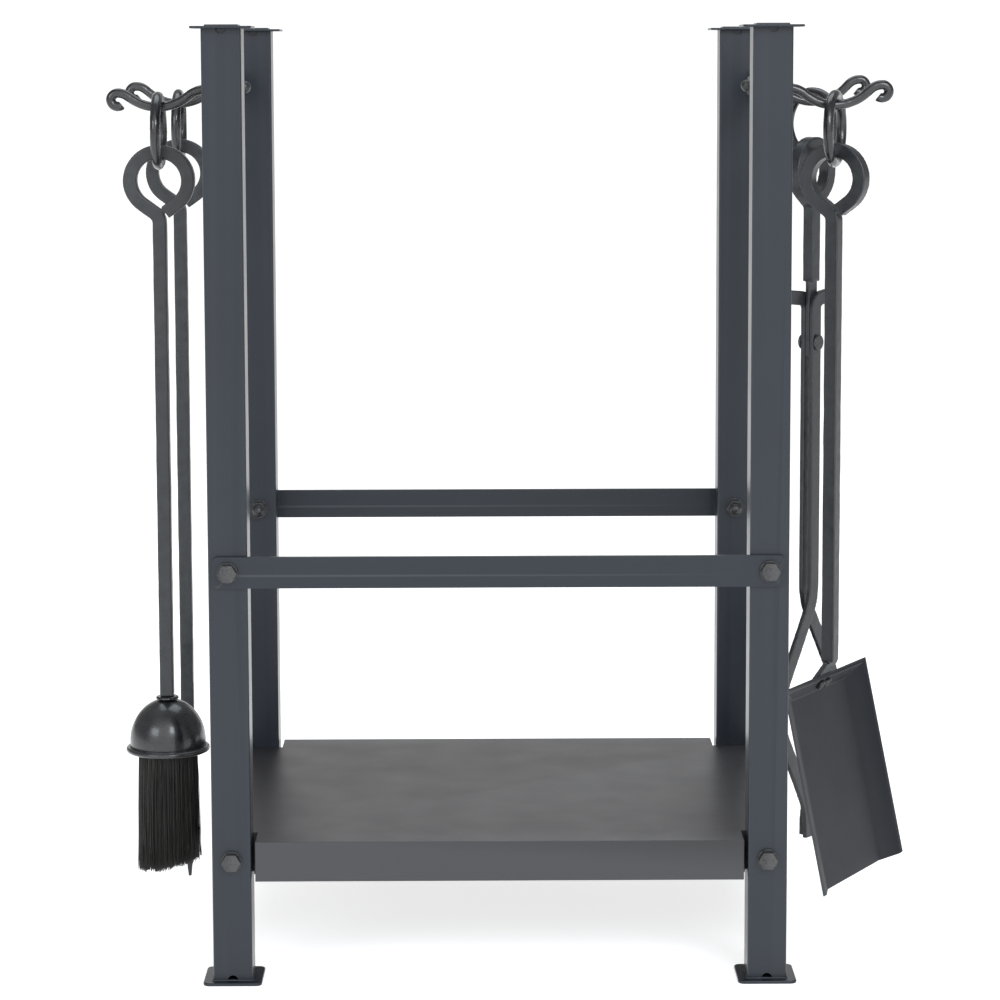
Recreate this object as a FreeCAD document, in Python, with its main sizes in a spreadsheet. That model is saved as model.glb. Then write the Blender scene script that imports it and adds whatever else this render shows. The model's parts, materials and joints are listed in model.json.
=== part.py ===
import FreeCAD, Part
import math
import os
import Sketcher

# Fireplace tool set: a square-tube stand with a folded shelf, and a brush, poker, shovel and tongs
# that hang by forged eyes from rings on four hooks.
# Frame: origin on the floor below the middle of the whole set's width and depth, +Z up, the front
# faces -Y. The stand is built about its own centre and everything is moved by frame_shift at the end.

SIZES = {
    "stand_width": 440.0,
    "stand_depth": 350.0,
    "stand_height": 730.0,
    "post_size": 30.0,
    "post_wall": 1.5,
    "foot_size": 45.0,
    "foot_thickness": 2.5,
    "cap_size": 46.0,
    "cap_thickness": 1.8,
    "cap_crown": 1.2,
    "cap_crown_size": 25.0,
    "cap_plug_depth": 12.0,
    "plate_corner": 5.0,
    "vent_radius": 4.0,
    "bolt_size": 7.8,
    "bolt_hole": 8.6,
    "thread_hole": 8.0,
    "head_flats": 13.0,
    "head_thickness": 5.3,
    "washer_size": 16.5,
    "washer_thickness": 1.6,
    "nut_thickness": 6.5,
    "nut_dome": 5.4,
    "bolt_tail": 8.5,
    "rail_height": 320.0,
    "rail_width": 24.0,
    "rail_thickness": 3.5,
    "rail_inset": 3.0,
    "side_rail_height": 682.0,
    "side_rail_thickness": 4.0,
    "shelf_top": 111.0,
    "shelf_lip": 31.0,
    "shelf_sheet": 1.5,
    "shelf_gap": 3.0,
    "shelf_bolt_height": 96.0,
    "hook_y": 80.0,
    "hook_rod": 7.5,
    "hook_neck": 5.5,
    "hook_shoulder_radius": 20.0,
    "hook_valley_radius": 37.0,
    "hook_fall_angle": 40.0,
    "hook_tail": 4.0,
    "hook_curl_radius": 5.2,
    "hook_crest_radius": 13.0,
    "hook_curl_angle": 220.0,
    "ring_wire": 8.0,
    "ring_radius": 26.3,
    "touch_gap": 0.3,
    "eye_gap": 0.9,
    "bar_size": 10.5,
    "eye_radius": 22.5,
    "neck_bend": 10.0,
    "neck_angle": 54.0,
    "eye_tail": 10.8,
    "brush_shank_foot": 205.0,
    "cup_top": 203.0,
    "cup_rim": 161.0,
    "cup_radius": 31.0,
    "cup_bead": 33.0,
    "cup_wall": 2.0,
    "collar_radius": 9.0,
    "collar_height": 2.0,
    "bristle_radius": 24.5,
    "bristle_foot": 64.5,
    "bristle_slant": 9.0,
    "poker_shank_foot": 60.0,
    "poker_tip_foot": 15.0,
    "spur_radius": 22.0,
    "spur_height": 72.0,
    "spur_bar": 8.0,
    "shovel_shank_foot": 231.0,
    "pan_width": 103.0,
    "pan_length": 152.0,
    "pan_depth": 11.0,
    "pan_flare": 26.0,
    "pan_back_flare": 10.0,
    "pan_sheet": 2.0,
    "pan_tilt": 12.5,
    "pan_top": 208.5,
    "pan_setback": 12.0,
    "tab_width": 20.0,
    "tab_thickness": 4.0,
    "rivet_head": 9.0,
    "rivet_head_height": 2.2,
    "tongs_shank_foot": 520.0,
    "tongs_pivot": 469.0,
    "tongs_pin": 6.0,
    "tongs_pin_head": 13.0,
    "arm_width": 12.0,
    "arm_thickness": 4.0,
    "frame_shift": 12.0,
}

# How each tool hangs: the side (-1 left, 1 right), front (-1) or rear (1), the turn of the tool and
# of its ring about Z, and the slope of the hook's tail, which is bent by hand and differs a little.
STATIONS = {
    "brush": {"side": -1, "row": -1, "tool_turn": 0.0, "ring_turn": 0.0, "tail_slope": 34.0},
    "poker": {"side": -1, "row": 1, "tool_turn": 0.0, "ring_turn": 0.0, "tail_slope": 40.0},
    "shovel": {"side": 1, "row": -1, "tool_turn": -31.0, "ring_turn": -18.0, "tail_slope": 42.0},
    "tongs": {"side": 1, "row": 1, "tool_turn": 50.0, "ring_turn": 42.0, "tail_slope": 46.0},
}

X_AXIS = FreeCAD.Vector(1, 0, 0)
Y_AXIS = FreeCAD.Vector(0, 1, 0)
Z_AXIS = FreeCAD.Vector(0, 0, 1)

doc = FreeCAD.newDocument("fireplace_tool_set")
sheet = doc.addObject("Spreadsheet::Sheet", "Sizes")
for sheet_row, (alias, value) in enumerate(SIZES.items(), start=1):
    sheet.set(f"A{sheet_row}", alias)
    sheet.set(f"B{sheet_row}", str(value))
    sheet.setAlias(f"B{sheet_row}", alias)
doc.recompute()

NODES = []


def size(alias):
    """A driving size, read back from the sheet."""
    return float(sheet.get(alias))


def bind(feature, **expressions):
    """Bind a feature's properties to the sheet: word names become aliases of the Sizes sheet."""
    for name, expression in expressions.items():
        words = expression.split()
        bound = " ".join(f"Sizes.{word}" if word in SIZES else word for word in words)
        feature.setExpression(name, bound)
    return feature


def place(x, y, z, turn=0.0, tilt=0.0):
    """A placement: tilted about X, then turned about Z, then moved."""
    rotation = FreeCAD.Rotation(Z_AXIS, turn).multiply(FreeCAD.Rotation(X_AXIS, tilt))
    return FreeCAD.Placement(FreeCAD.Vector(x, y, z), rotation)


def keep(feature, label):
    """Name a sub-part and list it for export."""
    feature.Label = label
    NODES.append(feature)
    return feature


def primitive(kind, name, **expressions):
    """A Part primitive whose sizes are bound to the sheet."""
    return bind(doc.addObject(f"Part::{kind}", name), **expressions)


def boolean(kind, base, tool):
    feature = doc.addObject(f"Part::{kind}", kind)
    feature.Base = base
    feature.Tool = tool
    return feature


def origin_plane(body, role):
    return next(item for item in body.Origin.OriginFeatures if item.Role == role)


def new_sketch(body, role, name="Sketch"):
    sketch = body.newObject("Sketcher::SketchObject", name)
    sketch.AttachmentSupport = [(origin_plane(body, role), "")]
    sketch.MapMode = "FlatFace"
    return sketch


def centred_rectangle(sketch, width, depth):
    """A rectangle centred on the sketch's origin, its sides bound to two expressions."""
    first = sketch.GeometryCount
    corners = [(-10, -10), (10, -10), (10, 10), (-10, 10)]
    for index in range(4):
        start = FreeCAD.Vector(*corners[index], 0)
        end = FreeCAD.Vector(*corners[(index + 1) % 4], 0)
        sketch.addGeometry(Part.LineSegment(start, end), False)
    for index in range(4):
        following = first + (index + 1) % 4
        sketch.addConstraint(Sketcher.Constraint("Coincident", first + index, 2, following, 1))
        direction = "Vertical" if index % 2 else "Horizontal"
        sketch.addConstraint(Sketcher.Constraint(direction, first + index))
    sketch.addConstraint(Sketcher.Constraint("Symmetric", first, 1, first + 1, 2, -1, 1))
    across = sketch.addConstraint(Sketcher.Constraint("DistanceX", first, 1, first, 2, 20.0))
    along = sketch.addConstraint(Sketcher.Constraint("DistanceY", first + 1, 1, first + 1, 2, 20.0))
    bind(sketch, **{f"Constraints[{across}]": width, f"Constraints[{along}]": depth})


def circle(sketch, x, y, diameter):
    """A circle at a fixed place, its diameter bound to an expression."""
    index = sketch.addGeometry(Part.Circle(FreeCAD.Vector(x, y, 0), Z_AXIS, 3.0), False)
    sketch.addConstraint(Sketcher.Constraint("DistanceX", -1, 1, index, 3, x))
    sketch.addConstraint(Sketcher.Constraint("DistanceY", -1, 1, index, 3, y))
    number = sketch.addConstraint(Sketcher.Constraint("Diameter", index, 6.0))
    bind(sketch, **{f"Constraints[{number}]": diameter})


def outline(sketch, points):
    """A closed outline of straight sides."""
    vectors = [FreeCAD.Vector(x, y, 0) for x, y in points]
    first = sketch.GeometryCount
    for index, start in enumerate(vectors):
        sketch.addGeometry(Part.LineSegment(start, vectors[(index + 1) % len(vectors)]), False)
    for index in range(len(vectors)):
        following = first + (index + 1) % len(vectors)
        sketch.addConstraint(Sketcher.Constraint("Coincident", first + index, 2, following, 1))


def trace(sketch, start, heading, moves):
    """Lines and tangent arcs from start; a move is ("go", length) or ("turn", radius, degrees)."""
    x, y = start
    angle = math.radians(heading)
    for move in moves:
        if move[0] == "go":
            end = (x + move[1] * math.cos(angle), y + move[1] * math.sin(angle))
            segment = Part.LineSegment(FreeCAD.Vector(x, y, 0), FreeCAD.Vector(*end, 0))
        else:
            side = 1 if move[2] > 0 else -1
            centre = (x - side * move[1] * math.sin(angle), y + side * move[1] * math.cos(angle))
            start_angle = angle - side * math.pi / 2
            swept = math.radians(move[2])
            points = []
            for part in (0.0, 0.5, 1.0):
                spoke = start_angle + part * swept
                points.append(FreeCAD.Vector(centre[0] + move[1] * math.cos(spoke),
                                             centre[1] + move[1] * math.sin(spoke), 0))
            segment = Part.Arc(*points)
            end = (points[2].x, points[2].y)
            angle += swept
        sketch.addGeometry(segment, False)
        x, y = end
    return x, y


def pad(body, sketch, length, both_ways=False, downwards=False):
    feature = body.newObject("PartDesign::Pad", "Pad")
    feature.Profile = sketch
    feature.Midplane = both_ways
    feature.Reversed = downwards
    bind(feature, Length=length)
    doc.recompute()
    return feature


def cut(body, sketch, length=None, both_ways=False, other_way=False):
    """A pocket, which must take material away."""
    before = body.Shape.Volume
    feature = body.newObject("PartDesign::Pocket", "Pocket")
    feature.Profile = sketch
    feature.Midplane = both_ways
    feature.Reversed = other_way
    if length is None:
        feature.Type = "ThroughAll"
    else:
        bind(feature, Length=length)
    doc.recompute()
    assert body.Shape.Volume < before - 1e-3, f"{body.Label}: the pocket cuts nothing"
    return feature


def sweep(body, profile, spine):
    feature = body.newObject("PartDesign::AdditivePipe", "Pipe")
    feature.Profile = profile
    feature.Spine = spine
    doc.recompute()
    return feature


def round_edges(body, feature, radius, wanted):
    """A fillet on the edges of a feature that the test picks out."""
    edges = [f"Edge{n}" for n, edge in enumerate(feature.Shape.Edges, start=1) if wanted(edge)]
    fillet = body.newObject("PartDesign::Fillet", "Fillet")
    fillet.Base = (feature, edges)
    bind(fillet, Radius=radius)
    doc.recompute()
    return fillet


def new_body(name):
    return doc.addObject("PartDesign::Body", name)


def is_upright(edge):
    return edge.Curve.TypeId == "Part::GeomLine" and abs(edge.tangentAt(edge.FirstParameter).z) > 0.99


# --- the stand ---

POST_X = (size("stand_width") - size("post_size")) / 2
POST_Y = (size("stand_depth") - size("post_size")) / 2
POST_FOOT = size("foot_thickness")
POST_LENGTH = size("stand_height") - size("cap_thickness") - POST_FOOT
CORNERS = {"front_left": (-1, -1), "front_right": (1, -1), "rear_left": (-1, 1), "rear_right": (1, 1)}


def make_post(label, side, row):
    """A square tube with bolt holes front to back and a half-round vent at each end of its front."""
    body = new_body("Post")
    section = new_sketch(body, "XY_Plane")
    centred_rectangle(section, "post_size", "post_size")
    centred_rectangle(section, "post_size - 2 * post_wall", "post_size - 2 * post_wall")
    tube = pad(body, section, "stand_height - cap_thickness - foot_thickness")
    half = size("post_size") / 2
    round_edges(body, tube, "post_wall * 1.2",
                lambda edge: is_upright(edge) and abs(edge.CenterOfMass.x) > half - 0.1)
    holes = new_sketch(body, "XZ_Plane", "BoltHoles")
    for height in ("rail_height", "shelf_bolt_height"):
        circle(holes, 0, size(height) - POST_FOOT, "bolt_hole")
    cut(body, holes, "stand_depth", both_ways=True)
    vents = new_sketch(body, "XZ_Plane", "Vents")
    for height in (0.0, POST_LENGTH):
        circle(vents, 0, height, "vent_radius * 2")
    cut(body, vents, "post_size", other_way=True)
    body.Placement = place(side * POST_X, row * POST_Y, POST_FOOT)
    return keep(body, label)


def make_foot(label, side, row):
    body = new_body("Foot")
    section = new_sketch(body, "XY_Plane")
    centred_rectangle(section, "foot_size", "foot_size")
    plate = pad(body, section, "foot_thickness")
    round_edges(body, plate, "plate_corner", is_upright)
    body.Placement = place(side * POST_X, row * POST_Y, 0)
    return keep(body, label)


def make_cap(label, side, row):
    """A flange plate with a raised crown and a plug that fits inside the tube."""
    body = new_body("Cap")
    section = new_sketch(body, "XY_Plane")
    centred_rectangle(section, "cap_size", "cap_size")
    plate = pad(body, section, "cap_thickness")
    round_edges(body, plate, "plate_corner", is_upright)
    plug = new_sketch(body, "XY_Plane", "Plug")
    centred_rectangle(plug, "post_size - 2 * post_wall - 1", "post_size - 2 * post_wall - 1")
    pad(body, plug, "cap_plug_depth", downwards=True)
    crown = new_sketch(body, "XY_Plane", "Crown")
    centred_rectangle(crown, "cap_crown_size", "cap_crown_size")
    pad(body, crown, "cap_thickness + cap_crown")
    body.Placement = place(side * POST_X, row * POST_Y, size("stand_height") - size("cap_thickness"))
    return keep(body, label)


for corner, (corner_side, corner_row) in CORNERS.items():
    make_post(f"{corner}_post", corner_side, corner_row)
    make_foot(f"{corner}_foot_plate", corner_side, corner_row)
    make_cap(f"{corner}_cap", corner_side, corner_row)


def make_rail(label, row):
    """A flat bar with rounded ends across two posts, bolted at each."""
    body = new_body("Rail")
    section = new_sketch(body, "XZ_Plane")
    centred_rectangle(section, "stand_width - 2 * rail_inset", "rail_width")
    bar = pad(body, section, "rail_thickness")
    round_edges(body, bar, "plate_corner", lambda edge: edge.Curve.TypeId == "Part::GeomLine"
                and abs(edge.tangentAt(edge.FirstParameter).y) > 0.99)
    holes = new_sketch(body, "XZ_Plane", "BoltHoles")
    for side in (-1, 1):
        circle(holes, side * POST_X, 0, "bolt_hole")
    cut(body, holes, "stand_depth", both_ways=True)
    face = size("stand_depth") / 2 + (size("rail_thickness") if row > 0 else 0)
    body.Placement = place(0, row * face, size("rail_height"))
    return keep(body, label)


def make_side_rail(label, side):
    """A flat bar welded between the front and rear posts, flush outside, drilled for two hooks."""
    body = new_body("SideRail")
    section = new_sketch(body, "YZ_Plane")
    centred_rectangle(section, "stand_depth - 2 * post_size", "rail_width")
    pad(body, section, "side_rail_thickness")
    holes = new_sketch(body, "YZ_Plane", "HookHoles")
    for row in (-1, 1):
        circle(holes, row * size("hook_y"), 0, "thread_hole")
    cut(body, holes, "post_size", both_ways=True)
    inner = size("stand_width") / 2 - size("side_rail_thickness")
    start = inner if side > 0 else -size("stand_width") / 2
    body.Placement = place(start, 0, size("side_rail_height"))
    return keep(body, label)


def make_shelf():
    """A tray of folded sheet, open underneath, its corners notched around the posts."""
    body = new_body("Shelf")
    outer_x = size("stand_width") / 2
    outer_y = size("stand_depth") / 2
    notch_x = outer_x - size("post_size") - size("shelf_gap")
    notch_y = outer_y - size("post_size")

    def cross(inset):
        """The notched outline, moved inwards by an inset."""
        wide, long = outer_x - inset, outer_y - inset
        narrow, short = notch_x - inset, notch_y - inset
        quarter = [(wide, short), (narrow, short), (narrow, long)]
        right_front = [(x, -y) for x, y in reversed(quarter)]
        left_rear = [(-x, y) for x, y in reversed(quarter)]
        left_front = [(-x, -y) for x, y in quarter]
        return quarter + left_rear + left_front + right_front

    top = new_sketch(body, "XY_Plane")
    outline(top, cross(0.0))
    pad(body, top, "shelf_lip")
    hollow = new_sketch(body, "XY_Plane", "Hollow")
    outline(hollow, cross(size("shelf_sheet")))
    cut(body, hollow, "shelf_lip - shelf_sheet", other_way=True)
    holes = new_sketch(body, "XZ_Plane", "BoltHoles")
    shelf_foot = size("shelf_top") - size("shelf_lip")
    for side in (-1, 1):
        circle(holes, side * POST_X, size("shelf_bolt_height") - shelf_foot, "bolt_hole")
    cut(body, holes, "stand_depth * 2", both_ways=True)
    body.Placement = place(0, 0, shelf_foot)
    return keep(body, "shelf_tray")


make_rail("front_rail", -1)
make_rail("rear_rail", 1)
make_side_rail("left_side_rail", -1)
make_side_rail("right_side_rail", 1)
make_shelf()


# --- fasteners: each is built pointing along local +Z, its bearing face at z = 0 ---

def make_bolt(grip):
    head = primitive("Prism", "Head", Circumradius="head_flats / 2 / cos(30)", Height="head_thickness")
    head.Polygon = 6
    head.Placement = place(0, 0, -size("head_thickness"))
    stem = primitive("Cylinder", "Stem", Radius="bolt_size / 2", Height=f"{grip} + bolt_tail")
    return boolean("Fuse", head, stem)


def make_washer():
    disc = primitive("Cylinder", "Disc", Radius="washer_size / 2", Height="washer_thickness")
    hole = primitive("Cylinder", "Hole", Radius="bolt_hole / 2", Height="washer_thickness")
    return boolean("Cut", disc, hole)


def make_dome_nut():
    """A hex nut closed by a dome, with a blind bore."""
    hexagon = primitive("Prism", "Hexagon", Circumradius="head_flats / 2 / cos(30)",
                        Height="nut_thickness")
    hexagon.Polygon = 6
    dome = primitive("Sphere", "Dome", Radius="nut_dome")
    dome.Placement = place(0, 0, size("nut_thickness"))
    bore = primitive("Cylinder", "Bore", Radius="thread_hole / 2", Height="bolt_tail + 1")
    return boolean("Cut", boolean("Fuse", hexagon, dome), bore)


def group(label, maker, spots):
    """One node of identical fasteners: a compound of one solid per spot."""
    members = []
    for position, direction in spots:
        member = maker()
        turn = FreeCAD.Rotation(Z_AXIS, FreeCAD.Vector(*direction))
        member.Placement = FreeCAD.Placement(FreeCAD.Vector(*position), turn)
        members.append(member)
    compound = doc.addObject("Part::Compound", "Group")
    compound.Links = members
    return keep(compound, label)


def fasten_across_posts(prefix, height, over, under):
    """Bolts through the four posts from outside: over and under are what they clamp beyond the post."""
    washer = size("washer_thickness")
    outer = size("stand_depth") / 2 + over
    inner = size("stand_depth") / 2 - size("post_size") - under
    grip = outer - inner + 2 * washer
    bolts, outer_washers, inner_washers, nuts = [], [], [], []
    for side, row in CORNERS.values():
        x, inward = side * POST_X, (0, -row, 0)
        bolts.append(((x, row * (outer + washer), height), inward))
        outer_washers.append(((x, row * (outer + washer), height), inward))
        inner_washers.append(((x, row * inner, height), inward))
        nuts.append(((x, row * (inner - washer), height), inward))
    group(f"{prefix}_bolts", lambda: make_bolt(str(grip)), bolts)
    group(f"{prefix}_outer_washers", make_washer, outer_washers)
    group(f"{prefix}_inner_washers", make_washer, inner_washers)
    group(f"{prefix}_dome_nuts", make_dome_nut, nuts)


fasten_across_posts("rail", size("rail_height"), size("rail_thickness"), 0.0)
fasten_across_posts("shelf", size("shelf_bolt_height"), 0.0, size("shelf_sheet"))


# --- hooks and rings ---

HOOK_START = size("stand_width") / 2
FALL = math.radians(size("hook_fall_angle"))
# the lowest point of every hook's rod centre, where its ring hangs
HOOK_LOW_X = (HOOK_START + size("hook_neck")
              + (size("hook_shoulder_radius") + size("hook_valley_radius")) * math.sin(FALL))
HOOK_LOW_Z = (size("side_rail_height")
              - (size("hook_shoulder_radius") + size("hook_valley_radius")) * (1 - math.cos(FALL)))
RING_Z = HOOK_LOW_Z + size("hook_rod") / 2 + size("touch_gap") + size("ring_wire") / 2 - size("ring_radius")
RING_BOTTOM_Z = RING_Z - size("ring_radius")
EYE_Z = RING_BOTTOM_Z + size("ring_wire") / 2 + size("eye_gap") - size("eye_radius") + size("bar_size") / 2


def make_hook(label, side, row, tail_slope):
    """A round rod: a threaded root through the side rail, a dip that holds the ring, a curled tip."""
    body = new_body("Hook")
    root = size("side_rail_thickness") + size("washer_thickness") + size("bolt_tail")
    profile = new_sketch(body, "YZ_Plane", "Rod")
    circle(profile, 0, 0, "hook_rod")
    spine = new_sketch(body, "XZ_Plane", "Bend")
    trace(spine, (0, 0), 0, [
        ("go", root + size("hook_neck")),
        ("turn", size("hook_shoulder_radius"), -size("hook_fall_angle")),
        ("turn", size("hook_valley_radius"), size("hook_fall_angle") + tail_slope),
        ("go", size("hook_tail")),
        ("turn", size("hook_crest_radius"), -tail_slope),
        ("turn", size("hook_curl_radius"), -size("hook_curl_angle")),
    ])
    sweep(body, profile, spine)
    turn = 0.0 if side > 0 else 180.0
    body.Placement = place(side * (HOOK_START - root), row * size("hook_y"), size("side_rail_height"), turn)
    return keep(body, label)


def make_ring(label, side, row, turn):
    """A closed wire ring that stands upright, its plane across the hook's rod."""
    ring = primitive("Torus", "Ring", Radius1="ring_radius", Radius2="ring_wire / 2")
    upright = FreeCAD.Rotation(Z_AXIS, turn).multiply(FreeCAD.Rotation(Y_AXIS, 90))
    spot = FreeCAD.Vector(side * HOOK_LOW_X, row * size("hook_y"), RING_Z)
    ring.Placement = FreeCAD.Placement(spot, upright)
    return keep(ring, label)


hook_washers, hook_nuts = [], []
for tool, station in STATIONS.items():
    make_hook(f"{tool}_hook", station["side"], station["row"], station["tail_slope"])
    make_ring(f"{tool}_ring", station["side"], station["row"], station["ring_turn"])
    rail_inside = station["side"] * (HOOK_START - size("side_rail_thickness"))
    nut_face = rail_inside - station["side"] * size("washer_thickness")
    inwards = (-station["side"], 0, 0)
    hook_y = station["row"] * size("hook_y")
    hook_washers.append(((rail_inside, hook_y, size("side_rail_height")), inwards))
    hook_nuts.append(((nut_face, hook_y, size("side_rail_height")), inwards))
group("hook_washers", make_washer, hook_washers)
group("hook_dome_nuts", make_dome_nut, hook_nuts)


# --- shanks with forged eyes ---

def tool_place(tool, height, offset=0.0, tilt=0.0):
    """A place on a tool's axis; offset runs along the eye's plane."""
    station = STATIONS[tool]
    turn = math.radians(station["tool_turn"])
    x = station["side"] * HOOK_LOW_X + offset * math.cos(turn)
    y = station["row"] * size("hook_y") + offset * math.sin(turn)
    return place(x, y, height, station["tool_turn"], tilt)


def eye_moves():
    """The bar leaves the neck to one side, runs round the loop and tucks its end against the neck."""
    neck = math.radians(size("neck_angle"))
    radius, bend = size("eye_radius"), size("neck_bend")
    tip = radius / math.cos(math.pi / 2 - neck)
    lead = bend * (1 - math.cos(neck)) / math.sin(neck)
    straight = (radius / math.tan(neck)) - lead
    rise = bend * math.sin(neck) - lead * math.cos(neck)
    moves = [
        ("turn", bend, size("neck_angle")),
        ("go", straight),
        ("turn", radius, -180.0 - 2 * size("neck_angle")),
        ("go", size("eye_tail")),
    ]
    return tip + rise, moves


def make_shank(tool, foot):
    """A square bar from its foot up to the eye at its top."""
    body = new_body("Shank")
    profile = new_sketch(body, "XY_Plane", "Bar")
    centred_rectangle(profile, "bar_size", "bar_size")
    spine = new_sketch(body, "XZ_Plane", "Bend")
    below_eye, moves = eye_moves()
    trace(spine, (0, 0), 90, [("go", EYE_Z - below_eye - foot)] + moves)
    sweep(body, profile, spine)
    body.Placement = tool_place(tool, foot)
    return body


# --- brush ---

keep(make_shank("brush", size("brush_shank_foot")), "brush_shank")


def revolve(label, tool, height, points):
    """A solid of revolution about the tool's axis; points are radius and height."""
    body = new_body("Round")
    section = new_sketch(body, "XZ_Plane", "Section")
    outline(section, points)
    feature = body.newObject("PartDesign::Revolution", "Revolution")
    feature.Profile = section
    feature.ReferenceAxis = (section, ["V_Axis"])
    feature.Angle = 360.0
    doc.recompute()
    body.Placement = tool_place(tool, height)
    return keep(body, label)


CUP_TALL = size("cup_top") - size("cup_rim")
BAND = 8.0


def cup_profile():
    """Rim bead, straight band and a shallow domed shoulder, followed back along the inside."""
    wall = size("cup_wall")
    radius, bead = size("cup_radius"), size("cup_bead")
    dome = [(radius * math.cos(math.radians(a)), BAND + (CUP_TALL - BAND) * math.sin(math.radians(a)))
            for a in (0, 15, 30, 45, 60, 75)]
    outside = [(bead - 1.0, 0), (bead, 1.0), (bead, 3.0), (bead - 1.0, 4.0), (radius, BAND - 3.0)] + dome
    outside += [(0, CUP_TALL)]
    inside = [(0, CUP_TALL - wall)]
    inside += [(x - wall, y - wall) for x, y in reversed(dome)]
    inside += [(radius - wall, 0)]
    return outside + inside


revolve("brush_cup", "brush", size("cup_rim"), cup_profile())
revolve("brush_collar", "brush", size("cup_top"),
        [(0, 0), (size("collar_radius"), 0), (size("collar_radius") - 1.0, size("collar_height")),
         (0, size("collar_height"))])
BLOCK_FOOT = size("cup_rim") + 2.0
revolve("brush_block", "brush", BLOCK_FOOT,
        [(0, 0), (size("bristle_radius") + 2.0, 0), (size("bristle_radius") + 2.0, 10.0), (0, 10.0)])


def make_bristles():
    """The tuft as one closed solid with a slanted end."""
    length = BLOCK_FOOT - size("bristle_foot")
    tuft = primitive("Cone", "Tuft", Radius1="bristle_radius", Radius2="bristle_radius - 1")
    tuft.Height = length
    slice_box = primitive("Box", "Slice", Length="bristle_radius * 4", Width="bristle_radius * 4",
                          Height="bristle_slant * 2")
    slant = math.degrees(math.atan2(size("bristle_slant"), 2 * size("bristle_radius")))
    corner = FreeCAD.Vector(-size("bristle_radius"), -2 * size("bristle_radius"), -2 * size("bristle_slant"))
    slice_box.Placement = FreeCAD.Placement(corner, FreeCAD.Rotation(Y_AXIS, slant),
                                            FreeCAD.Vector(0, 0, 2 * size("bristle_slant")))
    tuft_cut = boolean("Cut", tuft, slice_box)
    tuft_cut.Placement = tool_place("brush", size("bristle_foot"))
    return keep(tuft_cut, "brush_bristles")


make_bristles()


# --- poker ---

def make_poker():
    """The shank drawn out to a blunt point, and a curved spur welded to its outer side."""
    shank = make_shank("poker", size("poker_shank_foot"))
    half = size("bar_size") / 2
    tip = doc.addObject("Part::Wedge", "Tip")
    bind(tip, Xmin="0 - bar_size / 2", Xmax="bar_size / 2", Zmin="0 - bar_size / 2", Zmax="bar_size / 2",
         X2min="0 - bar_size / 8", X2max="bar_size / 8", Z2min="0 - bar_size / 8", Z2max="bar_size / 8",
         Ymax="poker_shank_foot - poker_tip_foot")
    tip.Ymin = 0
    base = tool_place("poker", size("poker_shank_foot"))
    tip.Placement = base.multiply(FreeCAD.Placement(FreeCAD.Vector(), FreeCAD.Rotation(X_AXIS, -90)))
    keep(boolean("Fuse", shank, tip), "poker_shank")
    spur = new_body("Spur")
    profile = new_sketch(spur, "YZ_Plane", "Bar")
    centred_rectangle(profile, "spur_bar", "spur_bar")
    spine = new_sketch(spur, "XZ_Plane", "Bend")
    trace(spine, (0, 0), 0, [("go", 4.0), ("turn", size("spur_radius"), -80.0), ("go", 8.0)])
    sweep(spur, profile, spine)
    outwards = FreeCAD.Placement(FreeCAD.Vector(), FreeCAD.Rotation(Z_AXIS, 180))
    spur.Placement = tool_place("poker", size("spur_height"), offset=-half).multiply(outwards)
    keep(spur, "poker_spur")


make_poker()


# --- shovel ---

def pan_wedge(name, inset, mouth):
    """The flared tray as a wedge: its floor at y = 0, its rim at y = pan_depth, the mouth at low z."""
    wedge = doc.addObject("Part::Wedge", name)
    half, flare = size("pan_width") / 2, size("pan_flare")
    wedge.Ymin = inset
    wedge.Ymax = size("pan_depth") + inset
    wedge.Xmin, wedge.Xmax = inset - half, half - inset
    wedge.Zmin, wedge.Zmax = -size("pan_length") - mouth, -inset
    wedge.X2min, wedge.X2max = inset - half - flare, half + flare - inset
    wedge.Z2min, wedge.Z2max = -size("pan_length") - mouth, size("pan_back_flare") - inset
    return wedge


def make_shovel():
    pan = boolean("Cut", pan_wedge("PanOutside", 0.0, 0.0), pan_wedge("PanInside", size("pan_sheet"), 5.0))
    # the tray's width runs across the eye's plane and it opens outwards, its mouth leaning out
    station = STATIONS["shovel"]
    turn = math.radians(station["tool_turn"])
    x = HOOK_LOW_X - size("pan_setback") * math.cos(turn)
    y = -size("hook_y") - size("pan_setback") * math.sin(turn)
    pan.Placement = place(x, y, size("pan_top"), station["tool_turn"] - 90.0, size("pan_tilt"))
    keep(pan, "shovel_pan")
    return pan.Placement


PAN_PLACE = make_shovel()


def make_shovel_shank():
    """The square shank and its flattened tab, which lies on the outside of the pan's back wall."""
    shank = make_shank("shovel", size("shovel_shank_foot"))
    slope = math.degrees(math.atan2(size("pan_depth"), size("pan_back_flare")))
    tab = primitive("Box", "Tab", Length="tab_width", Width="tab_thickness", Height="pan_back_flare * 2.6")
    lean = FreeCAD.Rotation(X_AXIS, -slope)
    offset = FreeCAD.Placement(FreeCAD.Vector(-size("tab_width") / 2, 0, 0), FreeCAD.Rotation())
    lift = FreeCAD.Placement(FreeCAD.Vector(0, -size("tab_thickness") * math.cos(math.radians(slope)),
                                            size("tab_thickness") * math.sin(math.radians(slope))), lean)
    tab.Placement = PAN_PLACE.multiply(lift).multiply(offset)
    keep(boolean("Fuse", shank, tab), "shovel_shank")


make_shovel_shank()


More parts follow.
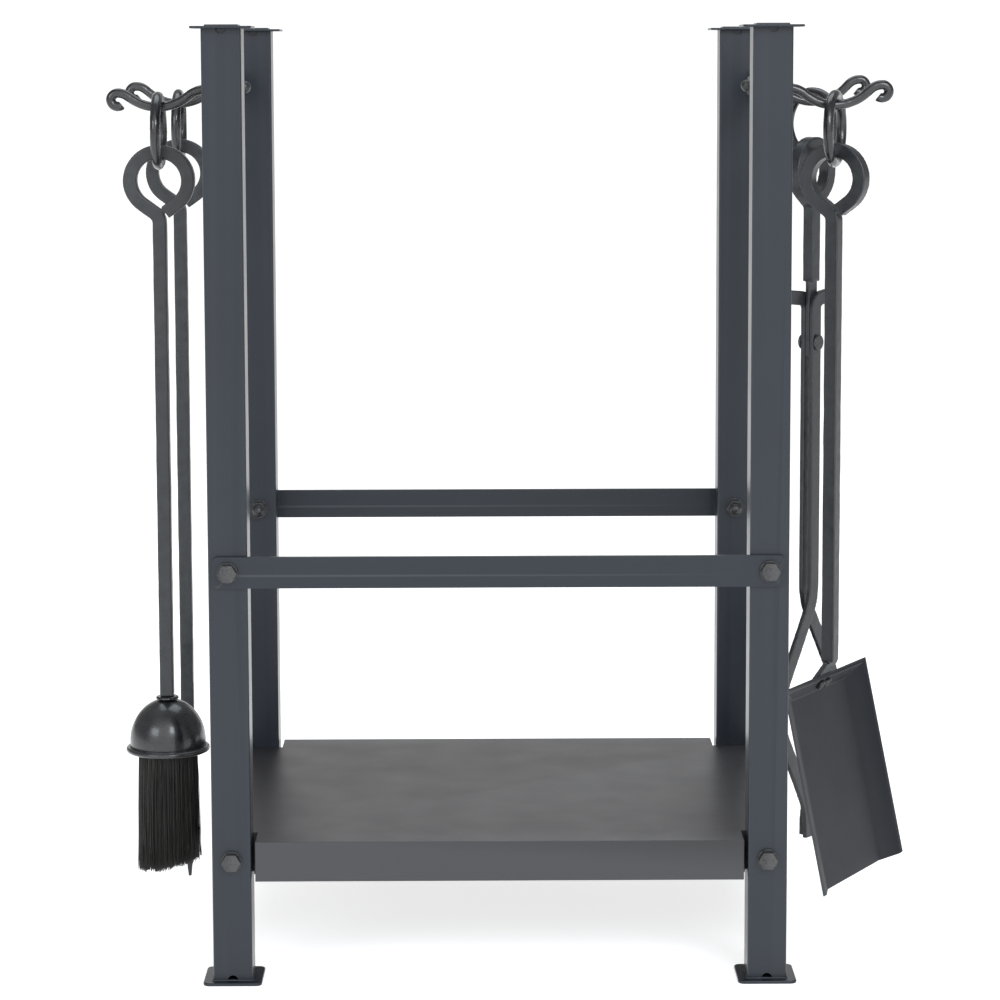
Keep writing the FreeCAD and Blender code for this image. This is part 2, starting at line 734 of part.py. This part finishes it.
def make_shovel_rivets():
    """Two rivets through the tab and the back wall, headed inside the pan."""
    slope = math.degrees(math.atan2(size("pan_depth"), size("pan_back_flare")))
    rivets = []
    for side in (-1, 1):
        head = primitive("Cylinder", "RivetHead", Radius="rivet_head / 2", Height="rivet_head_height")
        lean = FreeCAD.Rotation(X_AXIS, -90.0 - slope)
        along = 0.7 * size("pan_back_flare")
        # measured on the inner face of the back wall, square to its slope
        step_y = along * math.sin(math.radians(slope)) + size("pan_sheet") * math.cos(math.radians(slope))
        step_z = along * math.cos(math.radians(slope)) - size("pan_sheet") * math.sin(math.radians(slope))
        spot = FreeCAD.Vector(side * size("tab_width") * 0.27, step_y + 0.8, step_z - 0.8)
        head.Placement = PAN_PLACE.multiply(FreeCAD.Placement(spot, lean))
        rivets.append(head)
    compound = doc.addObject("Part::Compound", "Rivets")
    compound.Links = rivets
    keep(compound, "shovel_rivets")


make_shovel_rivets()


# --- tongs ---

def make_tongs_shank():
    """The square shank and a flat tongue between the arms, drilled for the pin."""
    shank = make_shank("tongs", size("tongs_shank_foot"))
    tongue = primitive("Box", "Tongue", Length="arm_width", Width="arm_thickness",
                       Height="tongs_shank_foot - tongs_pivot + arm_width")
    base = tool_place("tongs", size("tongs_pivot") - size("arm_width"))
    centre = FreeCAD.Vector(-size("arm_width") / 2, -size("arm_thickness") / 2, 0)
    tongue.Placement = base.multiply(FreeCAD.Placement(centre, FreeCAD.Rotation()))
    hole = primitive("Cylinder", "PinHole", Radius="tongs_pin / 2 + 0.05", Height="bar_size * 3")
    hole.Placement = pin_place(1.5 * size("bar_size"))
    keep(boolean("Cut", boolean("Fuse", shank, tongue), hole), "tongs_shank")


def pin_place(back):
    """On the pin's axis, moved back along it from the tongs' middle plane."""
    base = tool_place("tongs", size("tongs_pivot"))
    return base.multiply(FreeCAD.Placement(FreeCAD.Vector(0, back, 0), FreeCAD.Rotation(X_AXIS, 90)))


# from the jaw's tip upwards, in millimetres and degrees: outwards, round the bow, and back in
ARM_MOVES = [
    ("go", 8.0),
    ("turn", 60.0, -30.0),
    ("go", 58.0),
    ("turn", 50.0, 62.0),
    ("go", 61.0),
    ("turn", 50.0, -32.0),
]
ARM_LAYER = size("arm_thickness") + size("touch_gap")


def make_arm(label, side):
    """A flat arm: jaw tip, bowed lower part, straight run past the pin, finger tab bent outwards."""
    body = new_body("Arm")
    profile = new_sketch(body, "XY_Plane", "Bar")
    centred_rectangle(profile, "arm_width", "arm_thickness")
    spine = new_sketch(body, "XZ_Plane", "Bend")
    sideways, risen = trace(spine, (0, 0), 90, ARM_MOVES)
    tip_below = size("tongs_pivot") - 48.0
    trace(spine, (sideways, risen), 90, [
        ("go", tip_below - risen + 28.0),
        ("turn", 9.0, 84.0),
        ("go", 18.0),
    ])
    sweep(body, profile, spine)
    hole = primitive("Cylinder", "PinHole", Radius="tongs_pin / 2 + 0.05", Height="bar_size * 3")
    hole.Placement = pin_place(1.5 * size("bar_size"))
    base = tool_place("tongs", 48.0)
    flip = FreeCAD.Rotation(Z_AXIS, 0.0 if side > 0 else 180.0)
    shift = FreeCAD.Vector(-side * sideways, side * ARM_LAYER, 0)
    body.Placement = base.multiply(FreeCAD.Placement(shift, flip))
    arm = boolean("Cut", body, hole)
    return keep(arm, label)


make_tongs_shank()
make_arm("tongs_rear_arm", 1)
make_arm("tongs_front_arm", -1)


def make_tongs_pin():
    """The rivet: a pin through the arms and the tongue, with a round head at each end."""
    span = 2 * (ARM_LAYER + size("arm_thickness") / 2 + size("touch_gap"))
    pin = primitive("Cylinder", "Pin", Radius="tongs_pin / 2")
    pin.Height = span
    pin.Placement = pin_place(span / 2)
    whole = pin
    for end in (span / 2 + size("rivet_head_height"), -span / 2):
        head = primitive("Cylinder", "PinHead", Radius="tongs_pin_head / 2", Height="rivet_head_height")
        head.Placement = pin_place(end)
        whole = boolean("Fuse", whole, head)
    keep(whole, "tongs_pin")


make_tongs_pin()

# --- frame, checks and export ---

doc.recompute()
for node in NODES:
    base = node.Placement.Base - FreeCAD.Vector(size("frame_shift"), 0, 0)
    node.Placement = FreeCAD.Placement(base, node.Placement.Rotation)
doc.recompute()
for item in doc.Objects:
    assert "Invalid" not in item.State and "Error" not in item.State, f"{item.Name}: {item.State}"
os.makedirs("parts", exist_ok=True)
for node in NODES:
    assert not node.Shape.isNull() and node.Shape.isValid(), f"{node.Label}: bad shape"
    node.Shape.exportStep(f"parts/{node.Label}.step")
print(len(NODES), "nodes")
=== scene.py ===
import json
import math
import random

import bmesh
import bpy
from mathutils import Matrix, Vector, noise

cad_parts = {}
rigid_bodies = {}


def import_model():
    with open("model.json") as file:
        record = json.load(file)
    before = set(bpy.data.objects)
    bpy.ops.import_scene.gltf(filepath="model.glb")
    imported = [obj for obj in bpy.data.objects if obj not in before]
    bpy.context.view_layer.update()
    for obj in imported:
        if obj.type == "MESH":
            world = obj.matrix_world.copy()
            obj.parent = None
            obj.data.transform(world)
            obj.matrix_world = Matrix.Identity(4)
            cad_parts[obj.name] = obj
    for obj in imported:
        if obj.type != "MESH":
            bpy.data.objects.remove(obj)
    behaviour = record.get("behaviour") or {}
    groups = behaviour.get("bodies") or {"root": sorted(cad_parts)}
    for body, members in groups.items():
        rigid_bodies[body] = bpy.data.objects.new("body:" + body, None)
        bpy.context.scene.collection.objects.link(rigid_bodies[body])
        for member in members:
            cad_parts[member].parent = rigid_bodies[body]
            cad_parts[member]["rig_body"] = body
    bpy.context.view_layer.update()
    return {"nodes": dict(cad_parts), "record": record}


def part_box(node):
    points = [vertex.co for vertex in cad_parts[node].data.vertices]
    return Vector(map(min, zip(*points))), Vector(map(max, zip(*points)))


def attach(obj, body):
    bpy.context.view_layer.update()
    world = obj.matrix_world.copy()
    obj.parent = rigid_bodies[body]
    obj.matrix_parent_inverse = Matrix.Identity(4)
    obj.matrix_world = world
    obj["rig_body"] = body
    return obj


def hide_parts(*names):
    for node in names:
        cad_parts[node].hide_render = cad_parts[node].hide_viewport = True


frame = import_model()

# Looks of the fireplace tool set. Metres throughout; the pieces are placed from the CAD boxes.

random.seed(12)
nodes = frame["nodes"]
TOOLS = ("brush", "poker", "shovel", "tongs")
SLOTS = {entry["node"]: entry["material_slot"] for entry in frame["record"]["subparts"]}


# --- materials ---

def new_material(name):
    material = bpy.data.materials.new(name)
    material.use_nodes = True
    return material, material.node_tree, material.node_tree.nodes["Principled BSDF"]


def add_noise(tree, scale, detail=4.0, rough=0.55):
    coords = tree.nodes.new("ShaderNodeTexCoord")
    texture = tree.nodes.new("ShaderNodeTexNoise")
    texture.inputs["Scale"].default_value = scale
    texture.inputs["Detail"].default_value = detail
    texture.inputs["Roughness"].default_value = rough
    tree.links.new(coords.outputs["Object"], texture.inputs["Vector"])
    return texture.outputs["Fac"]


def remap(tree, value, low, high, start=0.3, end=0.7):
    node = tree.nodes.new("ShaderNodeMapRange")
    node.inputs["From Min"].default_value = start
    node.inputs["From Max"].default_value = end
    node.inputs["To Min"].default_value = low
    node.inputs["To Max"].default_value = high
    tree.links.new(value, node.inputs["Value"])
    return node.outputs["Result"]


def blend_colours(tree, factor, dark, light):
    node = tree.nodes.new("ShaderNodeMix")
    node.data_type = "RGBA"
    node.inputs["A"].default_value = (*dark, 1.0)
    node.inputs["B"].default_value = (*light, 1.0)
    tree.links.new(factor, node.inputs["Factor"])
    return node.outputs["Result"]


def bumps(tree, layers):
    """Stacked bumps; a layer is (height, depth in metres)."""
    normal = None
    for height, depth in layers:
        node = tree.nodes.new("ShaderNodeBump")
        node.inputs["Strength"].default_value = 1.0
        node.inputs["Distance"].default_value = depth
        tree.links.new(height, node.inputs["Height"])
        if normal is not None:
            tree.links.new(normal, node.inputs["Normal"])
        normal = node.outputs["Normal"]
    return normal


def worn(tree, colour, bare, amount):
    """Convex edges rubbed lighter."""
    geometry = tree.nodes.new("ShaderNodeNewGeometry")
    edge = remap(tree, geometry.outputs["Pointiness"], 0.0, amount, 0.53, 0.62)
    node = tree.nodes.new("ShaderNodeMix")
    node.data_type = "RGBA"
    node.inputs["B"].default_value = (*bare, 1.0)
    tree.links.new(colour, node.inputs["A"])
    tree.links.new(edge, node.inputs["Factor"])
    return node.outputs["Result"]


def powder_coat(name, colour, roughness, gloss):
    """Satin powder coat: faint cloudiness and a fine orange-peel grain."""
    material, tree, surface = new_material(name)
    dark = tuple(0.93 * c for c in colour)
    light = tuple(1.07 * c for c in colour)
    cloud = add_noise(tree, 9.0, 3.0)
    tone = blend_colours(tree, remap(tree, cloud, 0.0, 1.0), dark, light)
    tree.links.new(worn(tree, tone, (0.1, 0.105, 0.11), 0.25), surface.inputs["Base Color"])
    smear = remap(tree, add_noise(tree, 26.0), roughness - 0.02, roughness + 0.03)
    tree.links.new(smear, surface.inputs["Roughness"])
    grain = add_noise(tree, 950.0, 2.0)
    dimple = add_noise(tree, 260.0, 1.0)
    tree.links.new(bumps(tree, [(dimple, 0.00003), (grain, 0.00002)]), surface.inputs["Normal"])
    surface.inputs["Specular IOR Level"].default_value = gloss
    surface.inputs["Coat Weight"].default_value = 0.05
    surface.inputs["Coat Roughness"].default_value = 0.28
    return material


def forged_iron(name):
    """Hammered bar: mottled grey-black scale with rubbed corners and shallow pits."""
    material, tree, surface = new_material(name)
    patches = add_noise(tree, 120.0, 6.0, 0.65)
    tone = blend_colours(tree, remap(tree, patches, 0.0, 1.0), (0.011, 0.013, 0.016), (0.028, 0.031, 0.035))
    tree.links.new(worn(tree, tone, (0.11, 0.112, 0.115), 0.35), surface.inputs["Base Color"])
    tree.links.new(remap(tree, patches, 0.28, 0.5), surface.inputs["Roughness"])
    pits = add_noise(tree, 420.0, 4.0)
    dents = add_noise(tree, 110.0, 2.0)
    tree.links.new(bumps(tree, [(dents, 0.0002), (pits, 0.00006)]), surface.inputs["Normal"])
    surface.inputs["Metallic"].default_value = 0.15
    surface.inputs["Specular IOR Level"].default_value = 0.6
    return material


def gloss_black(name):
    """Thicker, glossier black on the hooks and rings, with soft runs in the coat."""
    material, tree, surface = new_material(name)
    runs = add_noise(tree, 60.0, 2.0)
    tone = blend_colours(tree, remap(tree, runs, 0.0, 1.0), (0.008, 0.008, 0.01), (0.022, 0.022, 0.025))
    tree.links.new(worn(tree, tone, (0.1, 0.1, 0.1), 0.4), surface.inputs["Base Color"])
    tree.links.new(remap(tree, runs, 0.2, 0.34), surface.inputs["Roughness"])
    tree.links.new(bumps(tree, [(add_noise(tree, 180.0, 3.0), 0.00022)]), surface.inputs["Normal"])
    surface.inputs["Coat Weight"].default_value = 0.35
    surface.inputs["Coat Roughness"].default_value = 0.12
    return material


def black_oxide(name):
    """Fasteners: darker and a little metallic, with bright rubbed corners."""
    material, tree, surface = new_material(name)
    speck = add_noise(tree, 500.0, 3.0)
    tone = blend_colours(tree, remap(tree, speck, 0.0, 1.0), (0.018, 0.019, 0.021), (0.05, 0.05, 0.052))
    tree.links.new(worn(tree, tone, (0.12, 0.12, 0.12), 0.3), surface.inputs["Base Color"])
    tree.links.new(remap(tree, speck, 0.24, 0.42), surface.inputs["Roughness"])
    tree.links.new(bumps(tree, [(speck, 0.00004)]), surface.inputs["Normal"])
    surface.inputs["Metallic"].default_value = 0.35
    return material


def bristle_hair(name):
    """Coarse near-black fibre, a little lighter and browner towards some tips."""
    material, tree, surface = new_material(name)
    strand = add_noise(tree, 700.0, 2.0)
    tone = blend_colours(tree, remap(tree, strand, 0.0, 1.0), (0.006, 0.006, 0.006), (0.03, 0.027, 0.024))
    tree.links.new(tone, surface.inputs["Base Color"])
    tree.links.new(remap(tree, strand, 0.38, 0.6), surface.inputs["Roughness"])
    tree.links.new(bumps(tree, [(add_noise(tree, 1800.0, 2.0), 0.00003)]), surface.inputs["Normal"])
    return material


def stained_wood(name):
    """The block inside the cup: stretched grain along X."""
    material, tree, surface = new_material(name)
    coords = tree.nodes.new("ShaderNodeTexCoord")
    stretch = tree.nodes.new("ShaderNodeMapping")
    stretch.inputs["Scale"].default_value = (1.0, 14.0, 14.0)
    grain = tree.nodes.new("ShaderNodeTexNoise")
    grain.inputs["Scale"].default_value = 60.0
    grain.inputs["Detail"].default_value = 6.0
    tree.links.new(coords.outputs["Object"], stretch.inputs["Vector"])
    tree.links.new(stretch.outputs["Vector"], grain.inputs["Vector"])
    tone = blend_colours(tree, grain.outputs["Fac"], (0.03, 0.018, 0.01), (0.1, 0.06, 0.035))
    tree.links.new(tone, surface.inputs["Base Color"])
    tree.links.new(remap(tree, grain.outputs["Fac"], 0.45, 0.65), surface.inputs["Roughness"])
    tree.links.new(bumps(tree, [(grain.outputs["Fac"], 0.0001)]), surface.inputs["Normal"])
    return material


MATERIALS = {
    "powder_coat": powder_coat("PowderCoat", (0.0115, 0.016, 0.0235), 0.3, 0.36),
    "forged": forged_iron("ForgedIron"),
    "gloss_black": gloss_black("GlossBlack"),
    "fastener": black_oxide("BlackOxide"),
    "bristles": bristle_hair("BristleHair"),
    "wood_block": stained_wood("StainedWood"),
}
SHELF_COAT = powder_coat("ShelfCoat", (0.0195, 0.018, 0.021), 0.42, 0.42)
# Painted shade: the shovel pan gets a darker, less shiny copy of the stand's powder coat, so the shade on
# the pan is painted into its colour.
PAN_COAT_PAINTED_SHADE = powder_coat("PanCoatPaintedShade", (0.0075, 0.0095, 0.0135), 0.42, 0.2)


# --- mesh helpers ---

def add_piece(name, mesh, node, material=None):
    """A new piece that stands for a CAD node and rides on the node's body."""
    piece = bpy.data.objects.new(name, mesh)
    bpy.context.scene.collection.objects.link(piece)
    mesh.materials.clear()
    mesh.materials.append(material or MATERIALS[SLOTS[node]])
    for face in mesh.polygons:
        face.use_smooth = True
    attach(piece, nodes[node]["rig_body"])
    return piece


def cad_copy(node):
    mesh = nodes[node].data.copy()
    work = bmesh.new()
    work.from_mesh(mesh)
    bmesh.ops.remove_doubles(work, verts=work.verts, dist=1e-6)
    bmesh.ops.dissolve_limit(work, angle_limit=math.radians(0.5), verts=work.verts, edges=work.edges)
    for edge in work.edges:
        edge.smooth = True
    work.to_mesh(mesh)
    work.free()
    return mesh


def apply_modifiers(piece):
    graph = bpy.context.evaluated_depsgraph_get()
    mesh = bpy.data.meshes.new_from_object(piece.evaluated_get(graph))
    piece.modifiers.clear()
    piece.data = mesh


def dressed(node, width, segments=3, material=None):
    """The node's own shape with every sharp edge rounded."""
    piece = add_piece(f"{node}.dressed", cad_copy(node), node, material)
    bevel = piece.modifiers.new("edges", "BEVEL")
    bevel.width = width
    bevel.segments = segments
    bevel.limit_method = "ANGLE"
    bevel.angle_limit = math.radians(28)
    flat = piece.modifiers.new("flat", "WEIGHTED_NORMAL")
    flat.mode = "FACE_AREA"
    flat.weight = 100
    apply_modifiers(piece)
    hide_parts(node)
    return piece


def hammered(node, voxel=0.0011, dent=0.00045, dent_size=0.011, smoothing=4):
    """The node's own shape with worn round corners and shallow hammer dents."""
    piece = add_piece(f"{node}.forged", cad_copy(node), node)
    remesh = piece.modifiers.new("even", "REMESH")
    remesh.mode = "VOXEL"
    remesh.voxel_size = voxel
    soften = piece.modifiers.new("soften", "SMOOTH")
    soften.factor = 0.5
    soften.iterations = smoothing
    apply_modifiers(piece)
    mesh = piece.data
    moves = []
    for vertex in mesh.vertices:
        spot = vertex.co / dent_size
        broad = noise.noise(spot)
        fine = noise.noise(spot * 3.1)
        moves.append(vertex.normal * dent * (broad + 0.35 * fine))
    for vertex, move in zip(mesh.vertices, moves):
        vertex.co += move
    for face in mesh.polygons:
        face.use_smooth = True
    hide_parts(node)
    return piece


def lathe(name, node, profile, steps=72):
    """A surface of revolution about the node's own upright axis; points are (radius, height)."""
    low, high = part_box(node)
    centre = Vector(((low[0] + high[0]) / 2, (low[1] + high[1]) / 2, low[2]))
    work = bmesh.new()
    rings = []
    for radius, height in profile:
        if radius < 1e-6:
            rings.append([work.verts.new(centre + Vector((0, 0, height)))])
            continue
        ring = []
        for step in range(steps):
            angle = 2 * math.pi * step / steps
            spoke = Vector((radius * math.cos(angle), radius * math.sin(angle), height))
            ring.append(work.verts.new(centre + spoke))
        rings.append(ring)
    for lower, upper in zip(rings, rings[1:]):
        for step in range(steps):
            following = (step + 1) % steps
            corners = [lower[step % len(lower)], lower[following % len(lower)],
                       upper[following % len(upper)], upper[step % len(upper)]]
            corners = list(dict.fromkeys(corners))
            if len(corners) > 2:
                work.faces.new(corners)
    bmesh.ops.recalc_face_normals(work, faces=work.faces)
    mesh = bpy.data.meshes.new(name)
    work.to_mesh(mesh)
    work.free()
    piece = add_piece(name, mesh, node)
    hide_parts(node)
    return piece


# --- the stand ---

for corner in ("front_left", "front_right", "rear_left", "rear_right"):
    dressed(f"{corner}_post", 0.0006, 2)
    dressed(f"{corner}_foot_plate", 0.0007)
    dressed(f"{corner}_cap", 0.0007)
for rail in ("front_rail", "rear_rail", "left_side_rail", "right_side_rail"):
    dressed(rail, 0.0007)
dressed("shelf_tray", 0.0006, 3, SHELF_COAT)


def weld_bead(name, body, start, end, radius):
    """A run of overlapping puddles along a straight joint."""
    work = bmesh.new()
    along = end - start
    count = max(2, int(along.length / (radius * 0.9)))
    for step in range(count + 1):
        spot = start + along * step / count
        spot += Vector([random.uniform(-1, 1) * radius * 0.12 for _ in range(3)])
        size = radius * random.uniform(0.9, 1.1)
        bmesh.ops.create_icosphere(work, subdivisions=2, radius=size, matrix=Matrix.Translation(spot))
    mesh = bpy.data.meshes.new(name)
    work.to_mesh(mesh)
    work.free()
    piece = bpy.data.objects.new(name, mesh)
    bpy.context.scene.collection.objects.link(piece)
    mesh.materials.append(MATERIALS["powder_coat"])
    for face in mesh.polygons:
        face.use_smooth = True
    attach(piece, body)


def weld_stand():
    """Beads inside the side rails' ends and round the posts' feet."""
    for side in ("left", "right"):
        low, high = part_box(f"{side}_side_rail")
        x = high[0] if side == "left" else low[0]
        for y in (low[1], high[1]):
            weld_bead(f"{side}_rail_weld_{'front' if y < 0 else 'rear'}", "stand",
                      Vector((x, y, low[2] + 0.002)), Vector((x, y, high[2] - 0.002)), 0.0014)
    for corner in ("front_left", "front_right", "rear_left", "rear_right"):
        low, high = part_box(f"{corner}_post")
        sides = [((low[0], low[1]), (high[0], low[1])), ((high[0], low[1]), (high[0], high[1])),
                 ((high[0], high[1]), (low[0], high[1])), ((low[0], high[1]), (low[0], low[1]))]
        for number, (start, end) in enumerate(sides):
            weld_bead(f"{corner}_foot_weld_{number}", "stand",
                      Vector((*start, low[2])), Vector((*end, low[2])), 0.0009)


weld_stand()


# --- fasteners ---

for node in nodes:
    if node.endswith("_bolts"):
        dressed(node, 0.0008)
    elif node.endswith(("_washers", "_rivets")):
        dressed(node, 0.0005)
    elif node.endswith("_dome_nuts"):
        dressed(node, 0.0006)
dressed("tongs_pin", 0.0009)


# --- hooks, rings and forged bars ---

for tool in TOOLS:
    hammered(f"{tool}_hook", 0.0007, 0.0002, 0.009, 3)
    hammered(f"{tool}_ring", 0.0008, 0.00025, 0.012, 3)
    hammered(f"{tool}_shank", 0.0008, 0.0002, 0.02, 1)
hammered("poker_spur", 0.0008, 0.0002, 0.02, 1)
hammered("tongs_rear_arm", 0.0007, 0.00015, 0.02, 1)
hammered("tongs_front_arm", 0.0007, 0.00015, 0.02, 1)
# The pan wears the darker copy of the powder coat, which is painted shade.
dressed("shovel_pan", 0.0007, 3, PAN_COAT_PAINTED_SHADE)


# --- brush ---

def make_cup():
    """Rolled rim bead, a short band and a half-round dome, thin walled."""
    low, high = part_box("brush_cup")
    radius = (high[0] - low[0]) / 2
    tall = high[2] - low[2]
    bead, wall = 0.0022, 0.0016
    band = 0.2 * tall
    wide = radius - bead
    profile = []
    for step in range(13):
        angle = math.radians(-150 + 300 * step / 12)
        profile.append((wide + bead * math.cos(angle), bead + bead * math.sin(angle)))
    dome = wide - 0.001
    profile += [(dome, 2 * bead + 0.0006), (dome, band)]
    for step in range(1, 28):
        angle = math.radians(90 * step / 28)
        profile.append((dome * math.cos(angle), band + (tall - band) * math.sin(angle)))
    profile.append((0, tall))
    inner = [(max(r - wall, 0), h - wall) for r, h in reversed(profile[15:])]
    lathe("brush_cup.spun", "brush_cup", profile + inner + [(wide - wall, 0.001)], 96)


def make_collar():
    """A low rounded washer where the shank enters the dome."""
    low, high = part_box("brush_collar")
    radius = (high[0] - low[0]) / 2
    tall = high[2] - low[2]
    profile = [(0, 0), (radius * 0.97, 0)]
    for step in range(9):
        angle = math.radians(90 * step / 8)
        profile.append((radius * (0.85 + 0.15 * math.cos(angle)), tall * (0.2 + 0.8 * math.sin(angle))))
    profile.append((0, tall))
    lathe("brush_collar.spun", "brush_collar", profile, 64)


BRISTLE_COUNT = 3600
BRISTLE_CUT_RISE = 0.009


def make_bristles():
    """Single tapered fibres in loose clumps, cut along a slant, splayed a little at the edge."""
    low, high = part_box("brush_bristles")
    centre = Vector(((low[0] + high[0]) / 2, (low[1] + high[1]) / 2, 0))
    radius = (high[0] - low[0]) / 2 - 0.0004
    work = bmesh.new()
    for _ in range(BRISTLE_COUNT):
        angle = random.uniform(0, 2 * math.pi)
        spread = math.sqrt(random.random())
        outward = Vector((math.cos(angle), math.sin(angle), 0))
        root = centre + outward * spread * (radius - 0.0012)
        root.z = high[2]
        clump = noise.noise(Vector((math.cos(angle) * 3.0, math.sin(angle) * 3.0, spread * 3.0)))
        foot = centre + outward * spread * (radius + 0.0002)
        foot += Vector((random.uniform(-1, 1), random.uniform(-1, 1), 0)) * 0.0013
        slant = BRISTLE_CUT_RISE * (foot.x - low[0]) / (high[0] - low[0])
        foot.z = low[2] + slant + abs(clump) * 0.005 + random.random() ** 3 * 0.006
        bow = Vector((random.uniform(-1, 1), random.uniform(-1, 1), 0)) * 0.0009
        thick = random.uniform(0.00026, 0.00042)
        previous = None
        for step in range(5):
            part = step / 4
            spot = root.lerp(foot, part) + bow * math.sin(math.pi * part)
            width = thick * (1.0 - 0.45 * part)
            ring = []
            for side in range(3):
                turn = angle + side * 2 * math.pi / 3
                ring.append(work.verts.new(spot + Vector((math.cos(turn), math.sin(turn), 0)) * width))
            if previous:
                for side in range(3):
                    nxt = (side + 1) % 3
                    work.faces.new([previous[side], previous[nxt], ring[nxt], ring[side]])
            previous = ring
        work.faces.new(previous)
    bmesh.ops.recalc_face_normals(work, faces=work.faces)
    mesh = bpy.data.meshes.new("brush_bristles.fibres")
    work.to_mesh(mesh)
    work.free()
    piece = add_piece("brush_bristles.fibres", mesh, "brush_bristles")
    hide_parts("brush_bristles")


make_cup()
make_collar()
make_bristles()
dressed("brush_block", 0.0008)


# --- stage, light and camera ---

PAPER_GLOW = 0.7


def paper_material():
    """Plain white paper with an even glow of its own, so that it stays pale."""
    material, tree, surface = new_material("PalePaper")
    mottle = add_noise(tree, 3.0, 2.0)
    tone = blend_colours(tree, remap(tree, mottle, 0.0, 1.0), (0.8, 0.8, 0.8), (0.83, 0.83, 0.83))
    tree.links.new(tone, surface.inputs["Base Color"])
    surface.inputs["Emission Strength"].default_value = PAPER_GLOW
    surface.inputs["Emission Color"].default_value = (1.0, 1.0, 1.0, 1.0)
    surface.inputs["Roughness"].default_value = 0.9
    surface.inputs["Specular IOR Level"].default_value = 0.1
    return material


def make_stage():
    """A floor so wide that its edge lies on the horizon."""
    work = bmesh.new()
    bmesh.ops.create_circle(work, cap_ends=True, segments=96, radius=60.0)
    mesh = bpy.data.meshes.new("stage_floor")
    work.to_mesh(mesh)
    work.free()
    floor = bpy.data.objects.new("stage_floor", mesh)
    bpy.context.scene.collection.objects.link(floor)
    mesh.materials.append(paper_material())


SOFTBOX_ASPECT = 0.7
COOL_WHITE = (0.86, 0.94, 1.0)
FRONT_SKY = 1.5
SIDE_SKY = 0.3
BACK_SKY = 1.1


def softbox(name, place, target, width, power):
    light = bpy.data.lights.new(name, "AREA")
    light.shape = "RECTANGLE"
    light.size = width
    light.size_y = width * SOFTBOX_ASPECT
    light.energy = power
    light.color = COOL_WHITE
    lamp = bpy.data.objects.new(name, light)
    lamp.location = place
    lamp.rotation_euler = (Vector(target) - Vector(place)).to_track_quat("-Z", "Y").to_euler()
    bpy.context.scene.collection.objects.link(lamp)


def make_light():
    """A surround that is white behind the stand, dim at its sides and bright in front of it."""
    world = bpy.data.worlds.new("studio")
    world.use_nodes = True
    tree = world.node_tree
    coords = tree.nodes.new("ShaderNodeTexCoord")
    split = tree.nodes.new("ShaderNodeSeparateXYZ")
    tree.links.new(coords.outputs["Generated"], split.inputs["Vector"])
    front = remap(tree, split.outputs["Y"], FRONT_SKY, SIDE_SKY, -0.8, -0.35)
    back = remap(tree, split.outputs["Y"], 0.0, BACK_SKY - SIDE_SKY, 0.84, 0.95)
    total = tree.nodes.new("ShaderNodeMath")
    total.operation = "ADD"
    tree.links.new(front, total.inputs[0])
    tree.links.new(back, total.inputs[1])
    tree.links.new(total.outputs[0], tree.nodes["Background"].inputs["Strength"])
    tree.nodes["Background"].inputs["Color"].default_value = (1.0, 1.0, 1.0, 1.0)
    bpy.context.scene.world = world
    middle = (0.0, 0.0, 0.35)
    softbox("key", (1.3, -3.2, 2.2), middle, 1.6, 60.0)
    softbox("fill", (-2.2, -2.6, 1.6), middle, 1.4, 18.0)
    softbox("top", (0.0, 0.8, 3.0), middle, 2.4, 30.0)


CAMERA_LENS = 109.24  # millimetres
CAMERA_SHIFT = -0.1  # share of the frame's width
CAMERA_PLACE = (-0.0225, -2.4403, 0.7095)
CAMERA_YAW, CAMERA_PITCH, CAMERA_ROLL = -0.0052, 0.1139, -0.003


def make_camera():
    """A long lens a little below the stand's top, looking slightly down."""
    camera = bpy.data.cameras.new("camera")
    camera.sensor_width = 36.0
    camera.lens = CAMERA_LENS
    camera.shift_y = CAMERA_SHIFT
    holder = bpy.data.objects.new("camera", camera)
    bpy.context.scene.collection.objects.link(holder)
    turn = Matrix.Rotation(CAMERA_YAW, 4, "Z") @ Matrix.Rotation(math.pi / 2 - CAMERA_PITCH, 4, "X")
    holder.matrix_world = Matrix.Translation(CAMERA_PLACE) @ turn @ Matrix.Rotation(CAMERA_ROLL, 4, "Z")
    bpy.context.scene.camera = holder


make_stage()
make_light()
make_camera()
bpy.context.scene.view_settings.view_transform = "Standard"
